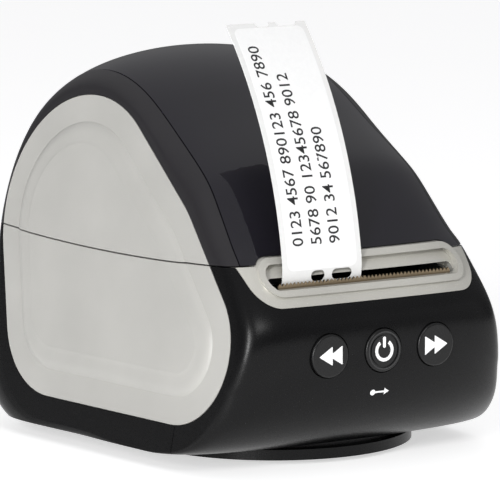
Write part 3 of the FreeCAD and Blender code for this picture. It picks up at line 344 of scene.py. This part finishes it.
@dataclass(frozen=True)
class WoundPaper(Finish):
    """A roll's paper: fine turns on its ends, smooth round its outside."""

    name: str
    colour: Colour
    centre: tuple[float, float, float]
    turn: float = 0.0009

    def build(self) -> bpy.types.Material:
        """Make the material."""
        s = Shader(self.name, self.colour, 0.6)
        place = s.place(self.centre, (0.0, 1.0, 1.0))
        length = s.node("ShaderNodeVectorMath", operation="LENGTH")
        s.link(place, length.inputs[0])
        turns = s.maths("MULTIPLY", length.outputs["Value"], math.tau / self.turn)
        wave = s.range(s.maths("SINE", turns, 0.0), 0.0, 1.0, -1.0, 1.0)
        gap = tuple(c * 0.86 for c in self.colour)
        s.link(s.ramp(wave, ((0.1, gap), (0.6, self.colour))), s.shader.inputs["Base Color"])
        s.bump(wave, 0.00003, 0.5)
        return s.material


@dataclass(frozen=True)
class CircuitBoard(Finish):
    """Green solder mask over faint copper runs."""

    name: str
    colour: Colour = (0.012, 0.10, 0.045)

    def build(self) -> bpy.types.Material:
        """Make the material."""
        s = Shader(self.name, self.colour, 0.32)
        cells = s.node("ShaderNodeTexBrick")
        cells.inputs["Scale"].default_value = 260.0
        cells.inputs["Mortar Size"].default_value = 0.03
        cells.inputs["Color1"].default_value = (*self.colour, 1.0)
        cells.inputs["Color2"].default_value = (*(c * 0.85 for c in self.colour), 1.0)
        cells.inputs["Mortar"].default_value = (*(min(1.0, c * 2.2) for c in self.colour), 1.0)
        s.link(s.coordinates.outputs["Object"], cells.inputs["Vector"])
        s.link(cells.outputs["Color"], s.shader.inputs["Base Color"])
        s.bump(cells.outputs["Fac"], 0.00003, 0.4)
        return s.material


@dataclass(frozen=True)
class Ink(Finish):
    """Printed or moulded-in mark with slightly uneven density."""

    name: str
    colour: Colour
    roughness: float = 0.5

    def build(self) -> bpy.types.Material:
        """Make the material."""
        s = Shader(self.name, self.colour, self.roughness)
        spots = s.noise(2200.0, 2.0)
        pale = tuple(min(1.0, c * 1.08 + 0.004) for c in self.colour)
        s.link(s.ramp(spots, ((0.35, self.colour), (0.8, pale))), s.shader.inputs["Base Color"])
        return s.material


ROLL_LOW, ROLL_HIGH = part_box("label_roll")
ROLL_CENTRE = tuple((ROLL_LOW + ROLL_HIGH) / 2)

LID_GLOSS = GlossPlastic("lid_gloss_black", (0.0044, 0.0036, 0.0072))
SHELL_BLACK = TexturedPlastic("shell_satin_black", (0.0030, 0.0030, 0.0033), 0.27, specular=0.18)
# Same black plastic as the shell, coloured lighter: painted sheen for the light the satin cover band catches
# from above.
BAND_BLACK_PAINTED_SHEEN = TexturedPlastic("cover_black_painted_sheen", (0.0125, 0.0115, 0.0135), 0.34, specular=0.5)
INNER_BLACK = TexturedPlastic("inner_black", (0.016, 0.016, 0.017), 0.5)
PANEL_GREY = TexturedPlastic("panel_warm_grey", (0.385, 0.38, 0.36), 0.42, 0.00002, 3200.0)
BEZEL_GREY = TexturedPlastic("bezel_warm_grey", (0.50, 0.49, 0.45), 0.24, 0.00001, 3200.0, 0.6, 0.3)
BUTTON_BLACK = TexturedPlastic("button_satin_black", (0.0056, 0.0056, 0.0058), 0.28, specular=0.32)
NYLON = TexturedPlastic("gear_nylon", (0.70, 0.68, 0.60), 0.42, 0.00001, 1800.0)
CERAMIC = TexturedPlastic("head_ceramic", (0.62, 0.58, 0.50), 0.3, 0.00001, 1500.0)
RUBBER = RibbedRubber("rubber_black")
STEEL = BrushedMetal("turned_steel", (0.58, 0.58, 0.58), 0.24, (900.0, 30.0, 30.0))
TEAR_STEEL = BrushedMetal("tear_bar_steel", (0.30, 0.235, 0.155), 0.32)
SHEET_STEEL = BrushedMetal("sheet_steel", (0.50, 0.51, 0.53), 0.33, (300.0, 40.0, 300.0))
ALUMINIUM = BrushedMetal("sink_aluminium", (0.72, 0.72, 0.73), 0.3)
PAPER = ThermalPaper("label_paper", (0.82, 0.82, 0.818))
LINER = ThermalPaper("backing_paper", (0.73, 0.73, 0.722), 0.42)
WOUND = WoundPaper("wound_labels", (0.82, 0.82, 0.80), ROLL_CENTRE)
CARD = ThermalPaper("core_card", (0.30, 0.19, 0.10), 0.8)
BOARD_GREEN = CircuitBoard("board_green")
MARK_WHITE = Ink("mark_white", (0.86, 0.86, 0.86))
PRINT_BLACK = Ink("print_black", (0.006, 0.006, 0.007))
# Lighter than the buttons' own black: painted highlight along the raised step ring round the power button.
BUTTON_STEP_HIGHLIGHT = TexturedPlastic("button_step_painted_highlight", (0.03, 0.03, 0.031), 0.25)
SCREW_STEEL = BrushedMetal("screw_steel", (0.50, 0.50, 0.50), 0.3, (400.0, 400.0, 60.0))

CAD_FINISHES: dict[str, Finish] = {
    "cover_lid": LID_GLOSS,
    "cover_frame": BAND_BLACK_PAINTED_SHEEN, "front_shell": SHELL_BLACK, "rear_shell": SHELL_BLACK, "base_pan": SHELL_BLACK,
    "lower_panel_left": PANEL_GREY, "lower_panel_right": PANEL_GREY,
    "upper_panel_left": PANEL_GREY, "upper_panel_right": PANEL_GREY,
    "slot_bezel": BEZEL_GREY, "tear_bar": TEAR_STEEL, "hinge_pin": STEEL,
    "button_reverse": BUTTON_BLACK, "button_power": BUTTON_BLACK, "button_forward": BUTTON_BLACK,
    "key_board": BOARD_GREEN, "main_board": BOARD_GREEN,
    "key_switches": INNER_BLACK, "power_jack": INNER_BLACK, "platen_bushes": INNER_BLACK,
    "paper_guide": INNER_BLACK, "spool_spindle": INNER_BLACK, "spool_flange": INNER_BLACK,
    "spool_guide": INNER_BLACK, "roll_cradle_left": INNER_BLACK, "roll_cradle_right": INNER_BLACK,
    "mech_frame_left": SHEET_STEEL, "mech_frame_right": SHEET_STEEL, "stepper_motor": SHEET_STEEL,
    "head_bracket": SHEET_STEEL, "usb_socket": SHEET_STEEL,
    "board_screws": SCREW_STEEL, "frame_screws": SCREW_STEEL,
    "board_components": INNER_BLACK, "paper_sensor": INNER_BLACK,
    "platen_shaft": STEEL, "motor_shaft": STEEL, "head_springs": STEEL,
    "platen_roller": RUBBER, "rubber_feet": RUBBER,
    "platen_gear": NYLON, "idler_gear_upper": NYLON, "idler_gear_lower": NYLON, "motor_pinion": NYLON,
    "print_head": CERAMIC, "head_heat_sink": ALUMINIUM,
    "roll_core": CARD, "label_roll": WOUND, "label_strip": LINER,
}


def dress_cad_nodes() -> None:
    """Give every carried-over CAD node its finish."""
    for name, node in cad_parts.items():
        finish = CAD_FINISHES[name]
        finish.dress(node)
        LOG.info("node %s: %s", name, finish.name)


# ------------------------------------------------------------------ mesh helpers
def piece_from(bm: bmesh.types.BMesh, name: str, body: str, finish: Finish) -> bpy.types.Object:
    """Turn a finished bmesh into a piece that rides on a body.

    Args:
        bm: The mesh, in metres and in place. It is freed.
        name: Name of the piece.
        body: CAD body that carries it.
        finish: Its finish.

    Returns:
        The new object.
    """
    bmesh.ops.remove_doubles(bm, verts=bm.verts, dist=1e-7)
    bmesh.ops.recalc_face_normals(bm, faces=bm.faces)
    mesh = bpy.data.meshes.new(name)
    bm.to_mesh(mesh)
    bm.free()
    obj = bpy.data.objects.new(name, mesh)
    bpy.context.scene.collection.objects.link(obj)
    finish.dress(obj)
    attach(obj, body)
    LOG.info("piece %s: %d faces on %s", name, len(mesh.polygons), body)
    return obj


def add_plate(bm: bmesh.types.BMesh, outline: Iterable[tuple[float, float]], thickness: float,
              corner: float = 0.0, segments: int = 4) -> None:
    """Flat plate of an outline in X and Z, raised towards -Y, its corners rounded.

    Args:
        bm: Mesh to add to.
        outline: Corner points, in metres.
        thickness: Plate thickness.
        corner: Setback of the rounded corners.
        segments: Segments of each corner.
    """
    plate = bmesh.new()
    plate.faces.new([plate.verts.new((x, 0.0, z)) for x, z in outline])
    if corner:
        bmesh.ops.bevel(plate, geom=plate.verts[:], offset=corner, segments=segments, profile=0.5,
                        affect="VERTICES", material=-1)
    raise_plate(plate, thickness)
    join_into(bm, plate)


def add_arc(bm: bmesh.types.BMesh, radius: float, stroke: float, thickness: float, start: float,
            sweep: float) -> None:
    """Flat ring or part of a ring about the origin in X and Z, raised towards -Y.

    Args:
        bm: Mesh to add to.
        radius: Radius of the stroke's middle.
        stroke: Width of the stroke.
        thickness: Plate thickness.
        start: Angle where it starts, from +X towards +Z.
        sweep: Angle that it covers.
    """
    plate = bmesh.new()
    ends = [plate.verts.new((r * math.cos(start), 0.0, r * math.sin(start)))
            for r in (radius - stroke / 2, radius + stroke / 2)]
    edge = plate.edges.new(ends)
    bmesh.ops.spin(plate, geom=[edge] + ends, cent=(0, 0, 0), axis=(0, -1, 0), angle=sweep, steps=56,
                   use_merge=sweep >= math.tau)
    raise_plate(plate, thickness)
    join_into(bm, plate)


def raise_plate(bm: bmesh.types.BMesh, thickness: float) -> None:
    """Give flat faces in X and Z a thickness towards -Y.

    Args:
        bm: Mesh of the flat faces.
        thickness: How thick it becomes.
    """
    grown = bmesh.ops.extrude_face_region(bm, geom=bm.faces[:], use_keep_orig=True)
    tops = [v for v in grown["geom"] if isinstance(v, bmesh.types.BMVert)]
    bmesh.ops.translate(bm, vec=(0.0, -thickness, 0.0), verts=tops)


def join_into(bm: bmesh.types.BMesh, part: bmesh.types.BMesh) -> None:
    """Copy one bmesh into another and free it.

    Args:
        bm: Mesh that receives.
        part: Mesh that is copied and freed.
    """
    mesh = bpy.data.meshes.new("part")
    part.to_mesh(mesh)
    part.free()
    bm.from_mesh(mesh)
    bpy.data.meshes.remove(mesh)


class Pictogram(Enum):
    """What a button's mark shows."""

    BACK = -1
    POWER = 0
    FORWARD = 1


@dataclass
class ButtonMarks:
    """Raised white marks on the three round buttons, and the step round the middle one, coloured lighter than
    the button as a painted highlight.
    """

    height: float = 0.06 * MM
    arrow_width: float = 5.3 * MM
    arrow_height: float = 6.4 * MM
    arrow_shift: float = 4.0 * MM
    ring_radius: float = 3.15 * MM
    ring_stroke: float = 1.15 * MM
    ring_open: float = math.radians(66)
    bar_foot: float = 0.9 * MM
    bar_top: float = 4.7 * MM
    bevel: float = 0.3 * MM
    step_radius: float = 6.25 * MM
    step_width: float = 0.34 * MM

    def arrows(self, bm: bmesh.types.BMesh, way: int) -> None:
        """Add two joined triangles with softened corners.

        Args:
            bm: Mesh to add to.
            way: 1 points to the right, -1 to the left.
        """
        rise = self.arrow_height / 2
        start = -(self.arrow_width + self.arrow_shift) / 2
        waist = rise * (1 - self.arrow_shift / self.arrow_width)
        second = start + self.arrow_shift
        upper = ((second, waist), (second, rise), (second + self.arrow_width, 0.0))
        outline = [(start, -rise), (start, rise), *upper, (second, -rise), (second, -waist)]
        add_plate(bm, [(way * x, z) for x, z in outline], self.height, self.bevel)

    def power(self, bm: bmesh.types.BMesh) -> None:
        """Add an open ring with an upright bar in its gap.

        Args:
            bm: Mesh to add to.
        """
        add_arc(bm, self.ring_radius, self.ring_stroke, self.height, math.pi / 2 + self.ring_open / 2,
                math.tau - self.ring_open)
        half = self.ring_stroke / 2
        bar = ((-half, self.bar_foot), (half, self.bar_foot), (half, self.bar_top), (-half, self.bar_top))
        add_plate(bm, bar, self.height, half * 0.95)

    def build(self) -> None:
        """Build the mark of each button on its own cap."""
        for node, sign, body in (("button_reverse", Pictogram.BACK, "reverse_button"),
                                 ("button_power", Pictogram.POWER, "power_button"),
                                 ("button_forward", Pictogram.FORWARD, "forward_button")):
            low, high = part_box(node)
            middle = Vector(((low.x + high.x) / 2, low.y + 0.005 * MM, (low.z + high.z) / 2))
            bm = bmesh.new()
            if sign is Pictogram.POWER:
                self.power(bm)
                step = bmesh.new()
                # The step ring is real relief; its lighter finish is a painted highlight.
                add_arc(step, self.step_radius, self.step_width, self.height * 1.6, 0.0, math.tau)
                bmesh.ops.translate(step, vec=middle, verts=step.verts)
                piece_from(step, node + "_step_painted_highlight", body, BUTTON_STEP_HIGHLIGHT)
            else:
                self.arrows(bm, sign.value)
            bmesh.ops.translate(bm, vec=middle, verts=bm.verts)
            piece_from(bm, node + "_mark", body, MARK_WHITE)


@dataclass
class SocketMark:
    """Small generic connection sign on the front shell, below the middle button."""

    centre_x: float = 0.0
    centre_z: float = 26.0 * MM
    line_length: float = 6.6 * MM
    stroke: float = 0.62 * MM
    dot_radius: float = 1.0 * MM
    head_length: float = 1.9 * MM
    head_height: float = 2.2 * MM
    lift: float = 0.05 * MM

    def build(self) -> None:
        """Lay the sign's line, dot and arrow head on the shell's curve."""
        bm = bmesh.new()
        half = self.line_length / 2
        bar = self.stroke / 2
        neck = half - self.head_length
        add_plate(bm, ((-half, -bar), (neck, -bar), (neck, bar), (-half, bar)), self.lift)
        dot = [(-half + self.dot_radius * math.cos(a), self.dot_radius * math.sin(a))
               for a in (math.tau * i / 24 for i in range(24))]
        add_plate(bm, dot, self.lift)
        head = self.head_height / 2
        add_plate(bm, ((neck, -head), (half, 0.0), (neck, head)), self.lift)
        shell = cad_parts["front_shell"]
        for vert in bm.verts:
            start = Vector((vert.co.x + self.centre_x, -0.2, vert.co.z + self.centre_z))
            found, place, _normal, _face = shell.ray_cast(start, Vector((0.0, 1.0, 0.0)))
            if found:
                vert.co = Vector((place.x, place.y + vert.co.y + 0.005 * MM, place.z))
        piece_from(bm, "front_socket_mark", "base", MARK_WHITE)


class StripPath:
    """The printed strip's front surface as a curve of Y and Z, read off the CAD node."""

    def __init__(self, across: float, bottom: float, step: float = 0.5 * MM) -> None:
        """Feel the strip from the front, from a height up to its torn end.

        Args:
            across: X at which the strip is felt, away from its punched marks.
            bottom: Height where the curve starts.
            step: Height between points.
        """
        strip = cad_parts["label_strip"]
        self.points: list[tuple[float, float, float]] = []
        height, length = bottom, 0.0
        while True:
            start = Vector((across, -0.3, height))
            found, place, _normal, _face = strip.ray_cast(start, Vector((0.0, 1.0, 0.0)))
            if not found:
                break
            if self.points:
                _, y, z = self.points[-1]
                length += math.hypot(place.y - y, place.z - z)
            self.points.append((length, place.y, place.z))
            height += step
        self.length = length

    def place(self, along: float, lift: float) -> tuple[float, float]:
        """Y and Z of a point over the strip.

        Args:
            along: Distance up the strip from the curve's start.
            lift: Height over the strip's surface.

        Returns:
            Y and Z in metres.
        """
        index = 1
        while index < len(self.points) - 1 and self.points[index][0] < along:
            index += 1
        (s0, y0, z0), (s1, y1, z1) = self.points[index - 1], self.points[index]
        part = (along - s0) / (s1 - s0)
        run_y, run_z = (y1 - y0) / (s1 - s0), (z1 - z0) / (s1 - s0)
        size = math.hypot(run_y, run_z)
        return y0 + (y1 - y0) * part - run_z / size * lift, z0 + (z1 - z0) * part + run_y / size * lift

    def wrap(self, bm: bmesh.types.BMesh, slice_every: float = 1.5 * MM) -> None:
        """Bend a flat mesh in X and Z, proud towards -Y, on to the strip.

        Args:
            bm: The flat mesh, its Z measured along the strip.
            slice_every: Spacing of the cuts that let it bend.
        """
        for i in range(1, int(self.length / slice_every) + 1):
            everything = bm.verts[:] + bm.edges[:] + bm.faces[:]
            bmesh.ops.bisect_plane(bm, geom=everything, plane_co=(0, 0, i * slice_every), plane_no=(0, 0, 1))
        for vert in bm.verts:
            y, z = self.place(vert.co.z, -vert.co.y)
            vert.co = Vector((vert.co.x, y, z))


@dataclass
class PrintedLabel:
    """The label on its backing strip, with plain rows of figures."""

    bottom: float = 67.6 * MM
    margin: float = 2.0 * MM
    top_gap: float = 1.9 * MM
    corner: float = 2.4 * MM
    thickness: float = 0.06 * MM
    figure_size: float = 6.1 * MM
    figure_lift: float = 0.012 * MM
    figure_weight: float = 0.045 * MM
    rows: tuple[tuple[str, float, float], ...] = (
        ("0123 4567 890123 456 7890", 2.6 * MM, 8.0 * MM),
        ("5678 90 12345678 9012", 10.0 * MM, 8.0 * MM),
        ("9012 34 567890", 17.4 * MM, 8.0 * MM))

    def figures(self, text: str, across: float, along: float) -> bmesh.types.BMesh:
        """One row of figures that runs up the label.

        Args:
            text: The figures.
            across: X of the row's foot, from the label's left edge.
            along: Distance of the row's start from the label's lower edge.

        Returns:
            A flat, closed mesh of the figures.
        """
        curve = bpy.data.curves.new("figures", "FONT")
        curve.body = text
        curve.size = self.figure_size
        curve.extrude = self.figure_lift / 2
        curve.offset = self.figure_weight
        curve.resolution_u = 3
        holder = bpy.data.objects.new("figures", curve)
        bpy.context.scene.collection.objects.link(holder)
        bpy.context.view_layer.update()
        mesh = bpy.data.meshes.new_from_object(holder)
        bm = bmesh.new()
        bm.from_mesh(mesh)
        bpy.data.objects.remove(holder)
        bpy.data.curves.remove(curve)
        bpy.data.meshes.remove(mesh)
        for vert in bm.verts:
            x, y, z = vert.co
            vert.co = Vector((across - y, -self.thickness - self.figure_lift / 2 - z, along + x))
        return bm

    def build(self) -> None:
        """Build the label and its print."""
        low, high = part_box("label_strip")
        left, right = low.x + self.margin, high.x - self.margin
        path = StripPath(low.x + 4.0 * MM, self.bottom)
        top = path.length - self.top_gap
        bm = bmesh.new()
        add_plate(bm, ((left, 0.0), (right, 0.0), (right, top), (left, top)), self.thickness, self.corner, 8)
        path.wrap(bm)
        piece_from(bm, "label_face", "base", PAPER)
        for number, (text, across, along) in enumerate(self.rows):
            bm = self.figures(text, left + across + self.figure_size * 0.7, along)
            path.wrap(bm, 3.0 * MM)
            piece_from(bm, f"label_print_{number}", "base", PRINT_BLACK)


FLOOR_SIZE = 6.0
LIGHT_TARGET = (0, 0, 0.06)
# Name, place in metres, width and height, and watts of each soft box.
SOFT_BOXES = (
    ("key_box", (-1.5, -1.0, 0.5), (0.3, 0.9), 27.0),
    ("front_box", (-0.35, -1.6, 1.25), (0.8, 0.5), 8.0),
    ("right_box", (1.4, -1.2, 0.55), (1.1, 0.9), 0.9),
)


# ------------------------------------------------------------------ studio
@dataclass
class Studio:
    """Pale floor, soft lights and the camera."""

    camera_place: tuple[float, float, float] = (-0.82454, -1.22811, 0.2747)
    look_at: tuple[float, float, float] = (0.00589, 0.00305, 0.06304)
    lens: float = 308.4
    horizon: float = 0.1
    zenith: float = 0.6
    floor_glow: float = 0.58

    def floor(self) -> None:
        """Large pale floor."""
        bm = bmesh.new()
        bmesh.ops.create_grid(bm, x_segments=2, y_segments=2, size=FLOOR_SIZE)
        mesh = bpy.data.meshes.new("studio_floor")
        bm.to_mesh(mesh)
        bm.free()
        obj = bpy.data.objects.new("studio_floor", mesh)
        bpy.context.scene.collection.objects.link(obj)
        s = Shader("studio_floor_white", (0.78, 0.78, 0.78), 0.7)
        s.set("Emission Color", (1.0, 1.0, 1.0, 1.0))
        s.set("Emission Strength", self.floor_glow)
        s.link(s.range(s.noise(3.0, 2.0), 0.5, 0.6), s.shader.inputs["Roughness"])
        obj.data.materials.append(s.material)

    def light(self, name: str, place: Sequence[float], target: Sequence[float], size: tuple[float, float],
              power: float) -> None:
        """Add one soft box.

        Args:
            name: Name of the light.
            place: Where it hangs, in metres.
            target: Point it faces.
            size: Width and height of the soft box.
            power: Watts.
        """
        data = bpy.data.lights.new(name, "AREA")
        data.shape = "RECTANGLE"
        data.size, data.size_y = size
        data.energy = power
        obj = bpy.data.objects.new(name, data)
        obj.location = place
        obj.rotation_euler = (Vector(target) - Vector(place)).to_track_quat("-Z", "Y").to_euler()
        bpy.context.scene.collection.objects.link(obj)

    def world(self) -> None:
        """Surroundings that brighten from the horizon to the zenith."""
        world = bpy.data.worlds.new("studio_world")
        world.use_nodes = True
        tree = world.node_tree
        coordinates = tree.nodes.new("ShaderNodeTexCoord")
        split = tree.nodes.new("ShaderNodeSeparateXYZ")
        ramp = tree.nodes.new("ShaderNodeValToRGB")
        ramp.color_ramp.elements[0].color = (self.horizon, self.horizon, self.horizon * 1.02, 1.0)
        ramp.color_ramp.elements[1].color = (self.zenith, self.zenith, self.zenith * 1.02, 1.0)
        tree.links.new(coordinates.outputs["Generated"], split.inputs["Vector"])
        tree.links.new(split.outputs["Z"], ramp.inputs["Fac"])
        tree.links.new(ramp.outputs["Color"], tree.nodes["Background"].inputs["Color"])
        bpy.context.scene.world = world

    def camera(self) -> None:
        """Camera at the chosen view."""
        data = bpy.data.cameras.new("camera")
        data.lens = self.lens
        data.sensor_width = 36.0
        data.clip_end = 20.0
        obj = bpy.data.objects.new("camera", data)
        obj.location = self.camera_place
        aim = Vector(self.look_at) - Vector(self.camera_place)
        obj.rotation_euler = aim.to_track_quat("-Z", "Y").to_euler()
        bpy.context.scene.collection.objects.link(obj)
        bpy.context.scene.camera = obj

    def build(self) -> None:
        """Set up the whole studio."""
        self.floor()
        self.world()
        self.camera()
        for name, place, size, power in SOFT_BOXES:
            self.light(name, place, LIGHT_TARGET, size, power)
        scene = bpy.context.scene
        scene.view_settings.view_transform = "Standard"
        LOG.info("studio ready")


def main() -> None:
    """Build everything in order."""
    Studio().build()
    dress_cad_nodes()
    ButtonMarks().build()
    SocketMark().build()
    PrintedLabel().build()


if __name__ == "__main__":
    main()
